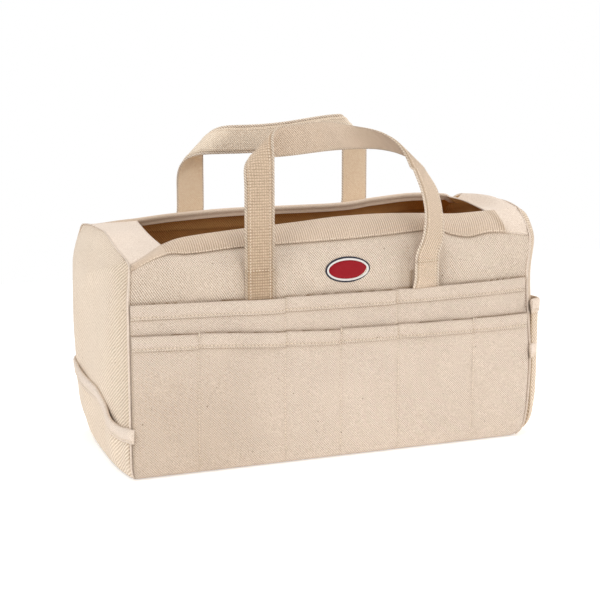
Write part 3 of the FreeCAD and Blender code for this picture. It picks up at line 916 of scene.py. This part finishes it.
def pockets(side, name):
    """Both strips of pockets on one side, with their hems and their stitching."""
    both = {
        "upper": (upper_stand, UPPER_LINE, UPPER_DIVIDERS),
        "lower": (lower_stand, LOWER_LINE, LOWER_DIVIDERS),
    }
    for which, made in both.items():
        strip(f"{name}_{which}_pockets", side, *made)
    for which, made in both.items():
        hem(f"{name}_{which}_hem", f"{name}_{which}_pocket_binding", side, *made)
    rows = []
    u = np.linspace(STRIP_ENDS[0] + 0.01, STRIP_ENDS[1] - 0.01, 300)
    x = u * HALF_LENGTH
    outwards = np.tile([0.0, side, 0.0], (len(u), 1))
    for stand, line, dividers in both.values():
        top = mouth_height(x, line, dividers)
        path = strip_face(u, top, side, stand) + outwards * HEM_STITCH[0]
        path[:, 2] += HEM_STITCH[1]
        rows.append((path, outwards))
    piece = stitches(f"{name}_hem_stitches", rows, thread, pitch=4.4, long=3.1, wide=1.15, tall=0.8)
    belongs(piece, "canvas")
    rows = []
    lower_foot = np.full(len(LOWER_DIVIDERS), 16.0)
    upper_foot = mouth_height(np.array(UPPER_DIVIDERS), LOWER_LINE, LOWER_DIVIDERS) + 1
    for (stand, line, dividers), feet in ((both["lower"], lower_foot), (both["upper"], upper_foot)):
        heads = mouth_height(np.array(dividers), line, dividers)
        for d, foot, head in zip(dividers, feet, heads):
            for start, end, lift in ((foot, head - HEM_TALL - 1, 0), (head - HEM_TALL + 1, head - 1, 2.0)):
                h = np.linspace(start, end, 60)
                path = strip_face(np.full_like(h, d / HALF_LENGTH), h, side, stand) + (0, side * lift, 0)
                rows.append((path, outwards[:60]))
    piece = stitches(f"{name}_pocket_stitches", rows, thread, pitch=3.8, long=2.4, wide=0.8, tall=0.45)
    belongs(piece, "canvas")
    tacks = []
    for d in (LOWER_DIVIDERS[0], LOWER_DIVIDERS[2], LOWER_DIVIDERS[4]):
        h = np.linspace(-3.5, 3.2, 12) + mouth_height(np.array(d), LOWER_LINE, LOWER_DIVIDERS)
        path = strip_face(np.full_like(h, d / HALF_LENGTH), h, side, lower_stand)
        tacks.append((path + (0, side * 2.2, 0), outwards[:12]))
    piece = stitches(f"{name}_pocket_tacks", tacks, thread, pitch=6.5, long=6.5, wide=1.3, tall=1.0)
    belongs(piece, "canvas")


# ---------------------------------------------------------------- pockets on the ends
END_POCKETS = {
    "left_end_pocket": dict(
        side=-1, node_hem="left_end_pocket_binding", reach=(8.0, 34.0),
        foot=rail(
            (-118, 250), (-105, 253.5), (-75, 256), (-40, 256), (0, 254), (60, 249), (100, 242), (118, 236)
        ),
        mouth=rail(
            (-117, 60), (-86, 56), (-66, 60), (-36, 71), (2, 83), (37, 84), (76, 89), (112, 96), (117, 97)
        ),
        lip=rail(
            (-117, 256.5), (-86, 259.5), (-66, 264), (-36, 262), (2, 260), (37, 263.5), (76, 264.5),
            (104, 262), (117, 256),
        ),
    ),
    "right_end_upper_pocket": dict(
        side=1, node_hem="right_end_upper_pocket_binding", reach=(14.0, 14.0),
        foot=rail((-118, 234), (-80, 240), (80, 240), (118, 234)),
        mouth=rail((-117, 171), (-60, 169), (0, 167), (60, 169), (117, 171)),
        lip=rail((-117, 256), (-109, 272), (-95, 276), (0, 273), (95, 272), (109, 268), (117, 256)),
    ),
    "right_end_lower_pocket": dict(
        side=1, node_hem="right_end_lower_pocket_binding", reach=(9.0, 9.0),
        foot=rail((-118, 234), (-80, 242), (80, 242), (118, 234)),
        mouth=rail((-117, 115), (-60, 113), (0, 111), (60, 113), (117, 115)),
        lip=rail((-117, 258), (-109, 269.5), (-95, 274), (0, 273), (95, 272), (109, 269), (117, 258)),
    ),
}
END_POCKET_ENDS = 0.985
# Where the hem's front end wraps round the corner seam: along the bag and across it.
HEM_ROUND_CORNER = np.array([[252.3, 254.6, 256.2], [-124.8, -123.2, -120.0]])


def end_pocket_face(b, z, spec):
    """An end pocket's outer face: it swells out from the foot to the lip's own line (one less an
    exponential of the height), never nearer to the end panel than its own thickness, and is rippled from
    front to rear."""
    side = spec["side"]
    y = b * HALF_DEPTH
    top = np.where(side < 0, LEFT_TOP(y), RIGHT_TOP(y))
    place = end_panel(b, z / top, side)
    rise = np.clip(z / spec["mouth"](y), 0, 1)
    foot = spec["foot"](y)
    reach = spec["reach"][0] + (spec["reach"][1] - spec["reach"][0]) * (b + 1) / 2
    ripple = 1.2 * np.sin(y / 9.0 + 1.5 * np.sin(z / 25)) * np.sin(math.pi * rise) * (side < 0)
    fill = 1 - np.exp(-z / reach)
    face = foot + (spec["lip"](y) - foot) * fill + ripple * ease((1 - np.abs(b)) / 0.1)
    place[..., 0] = side * np.maximum(face, place[..., 0] * side + 1.8)
    return place


def end_pocket(name, spec):
    """One end pocket with its hem and the stitching on the hem."""
    side = spec["side"]
    b = spaced((-END_POCKET_ENDS, -0.85, 14), (-0.85, 0.85, 80), (0.85, END_POCKET_ENDS, 14))
    top = spec["mouth"](b * HALF_DEPTH)
    share = spaced((0, 0.2, 12), (0.2, 1, 34))[:, None]
    z = 1.5 + share * (top[None] - 1.5)
    points = end_pocket_face(np.broadcast_to(b, z.shape), z, spec)
    # Painted shade: the pocket darker at its front and rear ends and just below its hem.
    corner = shadow((1 - np.abs(b))[None] * HALF_DEPTH, 0.4 if side < 0 else 0.8, 2.5)
    shade = shadow(top[None] - HEM_TALL - z, 0.35, 1.5) * corner
    piece = cloth(f"{name}_cloth", points, end_canvas, STRIP_THICK, shade=shade)
    belongs(piece, "canvas", name)
    path = end_pocket_face(b, top, spec)
    below = end_pocket_face(b, top - HEM_TALL, spec)
    wrapped = stack(side * HEM_ROUND_CORNER[0], HEM_ROUND_CORNER[1], path[:1, 2])
    path = np.concatenate([wrapped, path])
    below = np.concatenate([wrapped - (0, 0, HEM_TALL), below])
    up = unit(path - below)
    along = unit(np.gradient(path, axis=0))
    out = unit(np.cross(up, along))
    out = out * np.where(out[:, :1] * side < 0, -1, 1)
    edge = swept(f"{name}_hem", path, out, up, HEM, cap_canvas, shade=HEM_SHADE)
    belongs(edge, "canvas", spec["node_hem"])
    row = path + out * HEM_STITCH[0] + up * HEM_STITCH[1]
    sewn = stitches(f"{name}_stitches", [(row, out)], thread)
    belongs(sewn, "canvas")


# ---------------------------------------------------------------- raised seams round the ends
ROUND = np.linspace(0, 2 * math.pi, 12, endpoint=False)
RIDGE = np.stack([1.4 * np.cos(ROUND) + 0.2, 1.7 * np.sin(ROUND)], -1)


def ridge(name, end, side):
    """The raised seam up one corner and on over the end's top edge to its middle."""

    def end_edge(z, y):
        return left_edge(z, y) if end < 0 else RIGHT_EDGE(z)

    up_z = np.linspace(2.5, 220, 70)
    corner = stack(end * end_edge(up_z, side * HALF_DEPTH), side * foot_out(up_z), up_z)
    y = side * HALF_DEPTH * (1 - spaced((0, 0.08, 14), (0.08, 1, 40)))[1:]
    top = (LEFT_TOP if end < 0 else RIGHT_TOP)(y)
    over = stack(end * end_edge(top, y), y, top)
    path = np.concatenate([corner, over])
    along = unit(np.gradient(path, axis=0))
    out = unit(np.cross(along, np.array([1.0, 0, 0])))
    out = out * np.where(((path - INSIDE) * out).sum(-1, keepdims=True) < 0, -1, 1)
    across = unit(np.cross(out, along))
    taper = np.interp(np.arange(len(path)), [0, 4, 66, 80, len(path) - 1], [0.7, 1, 1, 0.55, 0.35])
    path = path + out * 0.2 + np.array([end * 0.6, 0, 0])
    piece = swept(name.replace("corner_binding", "raised_seam"), path, out, across, RIDGE, cap_canvas, taper)
    belongs(piece, "canvas", name)


# ---------------------------------------------------------------- straps
# How each strap rises and rolls over at its corners: the height where a roll starts on the leg, the
# roll's radius, left then right, and how the loop stands.
STRAPS = {
    "front": dict(
        side=-1, start=(337.0, 297.3), radius=(15.0, 34.4), arch=1.9, bow=11.8, sway=(0.0, 0.0), turn=11.7,
        twist=28.4, lean=5.1, tilt=36.6, face=strap_webbing, back=strap_twill,
    ),
    "rear": dict(
        side=1, start=(325.0, 360.0), radius=(17.0, 6.0), arch=-3.5, bow=0.0, sway=(4.0, 11.0), turn=0.0,
        twist=0.0, lean=0.0, tilt=0.0, face=rear_strap_face_painted_light, back=rear_strap_back_painted_light,
    ),
}
# The bow, the tilt and the twist: at what distance from the right foot each is, and how long.
BOW_AT, BOW_TALL = 273.8, 55.6
TILT_AT, TILT_LONG = 431.3, 50.8
TWIST_FROM, TWIST_TO = 232.0, 291.8
# How much strap a roll of radius 1 takes up: half a turn at 45 degrees.
HALF_TURN = math.pi / math.sqrt(2)


def rolled(v, s, start, radius, side):
    """A flat strap going up that rolls over a line at 45 degrees and comes out level behind itself.
    Beyond the line the distance q from it wraps round a cylinder: radius times sin(q / radius) ahead,
    radius times (1 - cos(q / radius)) deep, for half a turn, and then runs straight back. Gives across,
    up and deep."""
    k = math.sqrt(0.5)
    q = (v * side + (s - start)) * k
    p = (-v * side + (s - start)) * k
    turned = np.clip(q / radius, 0, math.pi)
    ahead = np.where(q < 0, q, np.where(turned < math.pi, radius * np.sin(turned), math.pi * radius - q))
    deep = radius * (1 - np.cos(turned))
    return (ahead - p) * k * side, start + (p + ahead) * k, deep


def strap_length(spec):
    """The strap from floor height up one leg, over, and down the other."""
    left, right = LEGS[spec["side"]]
    return right - left + sum(spec["start"]) + HALF_TURN * sum(spec["radius"])


def strap_line(v, s, spec):
    """The strap's middle surface: v across, s along from the left foot. Two rolled legs, blended along
    the top; then the sway and bow of a slack strap, the right leg's twist about its own middle, and the
    tilt of the top."""
    left, right = LEGS[spec["side"]]
    long = strap_length(spec)
    across, up, deep = rolled(v, s, spec["start"][0], spec["radius"][0], -1)
    across_r, up_r, deep_r = rolled(-v, long - s, spec["start"][1], spec["radius"][1], 1)
    first = spec["start"][0] + HALF_TURN * spec["radius"][0] + 20
    last = long - spec["start"][1] - HALF_TURN * spec["radius"][1] - 20
    w = ease((s - first) / (last - first))
    x = (left + across) * (1 - w) + (right + across_r) * w
    z = up * (1 - w) + up_r * w
    deep = deep * (1 - w) + deep_r * w
    rise = long - s
    shown = rise < spec["start"][1] + 40
    bow = spec["bow"] * hill(rise, BOW_AT, BOW_TALL) * ease((rise - HINGE_HEIGHT) / 30)
    bow = bow * (1 - ease((rise - spec["start"][1] - 10) / 50))
    more = ease((rise - TWIST_FROM) / (TWIST_TO - TWIST_FROM))
    twist = more * (spec["twist"] - spec["turn"]) + spec["turn"]
    twist = np.radians(np.where(shown, twist, 0)) * ease((rise - UPPER_MOUTH + 12) / 24)
    twist = twist * (1 - 0.48 * ease((rise - spec["start"][1] + 10) / 60))
    from_middle = np.where(shown, x - right, 0)
    x = x + from_middle * (np.cos(twist) - 1) + bow
    sewn = 1 - ease((rise - HINGE_HEIGHT) / 30)
    deep = deep + (from_middle - STRAP_WIDE / 2 * sewn) * np.sin(twist)
    lift = ease((z - HINGE_HEIGHT) / 55)
    x = x + lift * (spec["sway"][0] * (1 - w) + spec["sway"][1] * w)
    z = z + spec["arch"] * 4 * w * (1 - w)
    tilt = math.radians(spec["tilt"]) * hill(rise, TILT_AT, TILT_LONG)
    top = ease((rise - spec["start"][1] - 20) / 40) * (STRAP_WIDE / 2 + v)
    z = z - top * (1 - np.cos(tilt))
    deep = deep + top * np.sin(tilt)
    deep = deep + spec["lean"] * np.clip(z - HINGE_HEIGHT, 0, None) / 100 * w
    middle = HALF_DEPTH + STRAP_LIFT + STRAP_THICK / 2
    return stack(x, spec["side"] * (middle - deep), z)


def strap_facing(v, s, spec, step=0.4):
    """The way the strap's outer face points."""
    across = strap_line(v + step, s, spec) - strap_line(v - step, s, spec)
    along = strap_line(v, s + step, spec) - strap_line(v, s - step, spec)
    return unit(np.cross(across, along)) * -spec["side"]


# The strap's section, across and out: a wide layer with corded edges, and a narrower layer sewn on its
# outer face.
STRAP_SECTION = [
    (-18.0, -0.5), (-17.9, 0.2), (-17.2, 0.7), (-16.2, 0.8), (-15.2, 0.6), (-14.6, 0.3), (-14.2, 1.1),
    (-13.4, 1.5), (-11.8, 1.35), (-10.5, 1.5), (-5.0, 1.6), (0.0, 1.65), (5.0, 1.6), (10.5, 1.5),
    (11.8, 1.35), (13.4, 1.5), (14.2, 1.1), (14.6, 0.3), (15.2, 0.6), (16.2, 0.8), (17.2, 0.7), (17.9, 0.2),
    (18.0, -0.5), (17.4, -1.2), (16.0, -1.4), (8.0, -1.5), (0.0, -1.5), (-8.0, -1.5), (-16.0, -1.4),
    (-17.4, -1.2),
]
STRAP_BANDS = [1] * 5 + [0] * 12 + [1] * 7 + [2] * 4 + [1] * 2
# Painted shade at each point of the section: darker in the grooves beside the corded edges and along the
# sewn lines.
STRAP_SHADE = np.array(
    [1.0] * 4 + [0.95, 0.7, 0.8, 1.0, 0.9] + [1.0] * 5 + [0.9, 1.0, 0.8, 0.7, 0.95] + [1.0] * 11
)
SEW_LINE = 11.8


# How dark the painted shade makes the top of the front strap's loop.
TOP_SHADE = 0.76


def strap(name, spec):
    """One strap, from its foot behind the pockets, over the loop, to its other foot, with its
    stitching."""
    long = strap_length(spec)
    s = np.linspace(ANCHOR_FOOT, long - ANCHOR_FOOT, 330)
    section = np.array(STRAP_SECTION)
    v = np.broadcast_to(section[None, :, 0], (len(s), len(section)))
    along = np.broadcast_to(s[:, None], v.shape)
    points = strap_line(v, along, spec) + strap_facing(v, along, spec) * section[None, :, 1:]
    flat = np.stack([along, v], -1)
    finishes = [spec["face"], strap_edge, spec["back"], strap_smooth]
    # Painted shade: a dark line at each sewn row, and on the front strap a left leg painted darker towards
    # its foot and a darker top of the loop.
    sewn = 1 - 0.35 * sum(np.exp(-np.abs(s - at) / 1.2) for at in (HINGE_HEIGHT, long - HINGE_HEIGHT))
    top = ease((s - spec["start"][0] - 20) / 40) * ease((long - s - spec["start"][1] - 20) / 40)
    leg = 0.9 - 0.14 * ease((330 - s) / 90) - 0.1 * ease((HINGE_HEIGHT + 2 - s) / 4)
    if spec["side"] < 0:
        sewn = sewn * np.where(s < long / 2, leg * (1 - top) + TOP_SHADE * top, 1 - (1 - TOP_SHADE) * top)
    shade = sewn[:, None] * STRAP_SHADE[None]
    bands = np.tile(STRAP_BANDS, (len(s) - 1, 1))
    bands[(s[:-1, None] > long / 2) & (bands == 0) & (spec["side"] < 0)] = 3
    piece = mesh_piece(f"{name}_strap", points, flat, True, finishes, bands, shade)
    anchors = [f"{name}_left_strap_anchor", f"{name}_right_strap_anchor"]
    belongs(piece, "webbing", f"{name}_handle_loop", *anchors, body=None)
    rows = []
    fine = np.linspace(ANCHOR_FOOT + 2, long - ANCHOR_FOOT - 2, 700)
    for v0 in (-SEW_LINE, SEW_LINE):
        edge = np.full_like(fine, v0)
        face = strap_facing(edge, fine, spec)
        rows.append((strap_line(edge, fine, spec) + face * 1.45, face))
    for at in (HINGE_HEIGHT + 0.5, long - HINGE_HEIGHT - 0.5):
        v1 = np.linspace(-17, 17, 40)
        face = strap_facing(v1, np.full_like(v1, at), spec)
        rows.append((strap_line(v1, np.full_like(v1, at), spec) + face * 1.6, face))
    sewn = stitches(f"{name}_strap_stitches", rows, thread, pitch=3.6, long=2.5, wide=1.0, tall=0.7)
    belongs(sewn, "webbing", body=None)
    for part in (piece, sewn):
        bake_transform(part)


# ---------------------------------------------------------------- badge
def badge():
    """An oval badge on the front wall: dark edge, pale ring and red field, each a low dome that follows
    the wall."""
    centre_x = (low("badge_backing", X) + high("badge_backing", X)) / 2
    centre_z = (low("badge_backing", Z) + high("badge_backing", Z)) / 2
    wide = (high("badge_backing", X) - low("badge_backing", X)) / 2
    tall = (high("badge_backing", Z) - low("badge_backing", Z)) / 2

    def on_wall(x, z):
        """The front wall at a height, found by reading its profile there."""
        steps = np.linspace(1.5, 3.5, 200)
        profile = wall(np.full_like(steps, centre_x / HALF_LENGTH), steps, -1)
        return stack(x, np.interp(z, profile[:, 2], profile[:, 1]), z)

    angle = np.linspace(0, 2 * math.pi, 96, endpoint=False)[None]
    t = np.linspace(0, 1, 11)

    def oval(half_x, half_z):
        """Points round the centre, on the wall."""
        return on_wall(centre_x + half_x * np.cos(angle), centre_z + half_z * np.sin(angle))

    def layer(name, node, slot, place, finish):
        """One layer of the badge."""
        flat = np.stack([place[..., 0], place[..., 2]], -1)
        piece = mesh_piece(name, place, flat, wrap=True, finish=finish)
        belongs(piece, slot, node)

    for name, node, slot, start, end, tall_mm, finish in (
        ("badge_edge", "badge_backing", "badge_dark", 0.0, 2.6, 1.0, badge_dark),
        ("badge_pale_ring", "badge_ring", "badge_pale", 1.5, 4.4, 1.25, badge_pale),
    ):
        inset = (start + (end - start) * t)[:, None]
        front, back = oval(wide - inset, tall - inset), oval(wide - inset, tall - inset)
        front[..., 1] -= 0.3 + tall_mm * np.sin(math.pi * t)[:, None] ** 0.5
        back[..., 1] -= 0.2
        layer(name, node, slot, np.concatenate([front, back[::-1]]), finish)
    shrink = np.linspace(1, 0.001, 11)[:, None]
    field = oval((wide - 3.6) * shrink, (tall - 3.6) * shrink)
    field[..., 1] -= 0.3 + 1.45 * ease(t / 0.3)[:, None]
    layer("badge_field", "badge_face", "badge_red", field, badge_red)


# ---------------------------------------------------------------- stitching on the walls
def wall_stitches():
    """The row that holds each band, and the two rows inside, under the rim."""
    for side, name in ((-1, "front"), (1, "rear")):
        u = np.linspace(-0.97, 0.98, 300)
        path = band(u, np.full_like(u, 0.06), side)
        out = normals(lambda a, b: band(a, b, side), u, np.full_like(u, 0.3))
        rows = [(path + out * 0.1, out)]
        u = np.linspace(-0.72, 0.72, 220)
        for at in (3.82, 3.6):
            out = -normals(lambda a, b: wall(a, b, side), u, np.full_like(u, at))
            rows.append((wall(u, np.full_like(u, at), side) + out * (CANVAS_THICK + 0.1), out))
        piece = stitches(f"{name}_band_stitches", rows, thread)
        belongs(piece, "canvas")


# ---------------------------------------------------------------- making
walls_and_caps()
bands()
for side_, name_ in ((-1, "front"), (1, "rear")):
    pockets(side_, name_)
for pocket_name, pocket_spec in END_POCKETS.items():
    end_pocket(pocket_name, pocket_spec)
for side_, name_ in ((-1, "front"), (1, "rear")):
    for end_, end_name in ((-1, "left"), (1, "right")):
        ridge(f"{name_}_{end_name}_corner_binding", end_, side_)
for name_, spec_ in STRAPS.items():
    strap(name_, spec_)
badge()
wall_stitches()

# ---------------------------------------------------------------- floor, light and camera
FLOOR_HALF = 1.3
floor_mesh = bpy.data.meshes.new("floor")
floor_corners = ((-1, -1), (1, -1), (1, 1), (-1, 1))
floor_points = [(x * FLOOR_HALF, y * FLOOR_HALF, -0.0006) for x, y in floor_corners]
floor_mesh.from_pydata(floor_points, [], [(0, 1, 2, 3)])
floor = bpy.data.objects.new("floor", floor_mesh)
bpy.context.scene.collection.objects.link(floor)
paper = bpy.data.materials.new("white_paper_sweep")
paper.use_nodes = True
grain = mixed(paper.node_tree, cloudy(paper.node_tree, 400), linear("#F8F8F8"), linear("#FBFBFB"))
paper_shader = paper.node_tree.nodes["Principled BSDF"]
paper.node_tree.links.new(grain, paper_shader.inputs["Base Color"])
paper_shader.inputs["Emission Color"].default_value = (1, 1, 1, 1)
paper_shader.inputs["Emission Strength"].default_value = 0.33
paper_shader.inputs["Roughness"].default_value = 0.9
paper_shader.inputs["Specular IOR Level"].default_value = 0.1
floor_mesh.materials.append(paper)

ROOM_LIGHT = 0.46
world = bpy.data.worlds.new("studio")
bpy.context.scene.world = world
world.use_nodes = True
seen = add(world.node_tree, "ShaderNodeLightPath").outputs["Is Camera Ray"]
glow = math_node(world.node_tree, "MULTIPLY_ADD", seen, 1.0 - ROOM_LIGHT, ROOM_LIGHT)
background = world.node_tree.nodes["Background"]
background.inputs[0].default_value = (1, 1, 1, 1)
world.node_tree.links.new(glow, background.inputs[1])


def softbox(name, place, aim, size, power, colour="#FFFFFF"):
    """A square soft light at a place, turned to an aim, both in metres."""
    lamp = bpy.data.lights.new(name, "AREA")
    lamp.color = linear(colour)[:3]
    lamp.size = size
    lamp.energy = power
    lamp_object = bpy.data.objects.new(name, lamp)
    bpy.context.scene.collection.objects.link(lamp_object)
    lamp_object.location = place
    direction = np.array(aim) - np.array(place)
    lamp_object.rotation_euler = (
        math.atan2(math.hypot(direction[0], direction[1]), -direction[2]), 0,
        math.atan2(direction[1], direction[0]) - math.pi / 2,
    )
    return lamp_object


softbox("key_left", (-1.8, -0.9, 1.3), (0, 0, 0.15), 1.1, 18)
softbox("side_right", (2.0, -0.4, 0.7), (0, 0, 0.15), 1.4, 13)
softbox("top", (0.2, 0.2, 1.9), (0, 0, 0.2), 1.4, 15.5)
softbox("fill_right", (0.9, -2.2, 1.0), (0, 0, 0.15), 1.2, 11.5, "#FFF4EA")

camera = bpy.data.cameras.new("camera")
camera.lens = 85.06
camera.sensor_width = 36.0
camera_object = bpy.data.objects.new("camera", camera)
bpy.context.scene.collection.objects.link(camera_object)
camera_object.location = (-0.6666, -1.5939, 0.4695)
camera_object.rotation_euler = (math.radians(80.11), 0, math.radians(-22.62))
bpy.context.scene.camera = camera_object
bpy.context.scene.view_settings.view_transform = "Standard"
